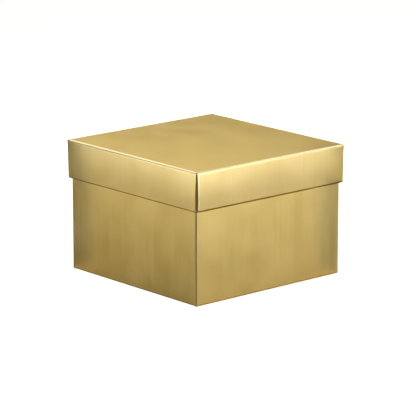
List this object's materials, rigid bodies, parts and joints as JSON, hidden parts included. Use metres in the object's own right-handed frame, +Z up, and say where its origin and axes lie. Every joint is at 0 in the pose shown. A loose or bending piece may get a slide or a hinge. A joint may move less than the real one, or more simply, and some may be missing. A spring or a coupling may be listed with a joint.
{
  "type": "favor box",
  "caption": "Square folded-board gift box with a lift-off lid: double rolled-over walls lock the corner tabs, and the lid's skirt slides over the base.",
  "frame": {"origin": "centre of the base's underside, on the surface that the box stands on", "axes": "+Z up through the lid; +X through the right end wall, the longer way by the trapped tabs; the front wall faces -Y"},
  "size_m": [0.0796, 0.0774, 0.053],
  "materials": {
    "gold_board": "satin metallic gold laminate on the outer face, plain white board on the back and at cut edges"
  },
  "bodies": {
    "base": {"base_floor": "gold_board", "base_front_wall": "gold_board", "base_back_wall": "gold_board", "base_left_wall": "gold_board", "base_right_wall": "gold_board", "base_front_lining": "gold_board", "base_back_lining": "gold_board", "base_left_lining": "gold_board", "base_right_lining": "gold_board", "base_corner_tab_front_left": "gold_board", "base_corner_tab_front_right": "gold_board", "base_corner_tab_back_left": "gold_board", "base_corner_tab_back_right": "gold_board"},
    "lid": {"lid_top": "gold_board", "lid_front_skirt": "gold_board", "lid_back_skirt": "gold_board", "lid_left_skirt": "gold_board", "lid_right_skirt": "gold_board", "lid_front_lining": "gold_board", "lid_back_lining": "gold_board", "lid_left_lining": "gold_board", "lid_right_lining": "gold_board", "lid_corner_tab_front_left": "gold_board", "lid_corner_tab_front_right": "gold_board", "lid_corner_tab_back_left": "gold_board", "lid_corner_tab_back_right": "gold_board"}
  },
  "joints": [
    {"name": "lid_lift", "type": "slide", "parent": "base", "child": "lid", "axis": [0, 0, 1], "range_m": [0, 0.045]}
  ]
}
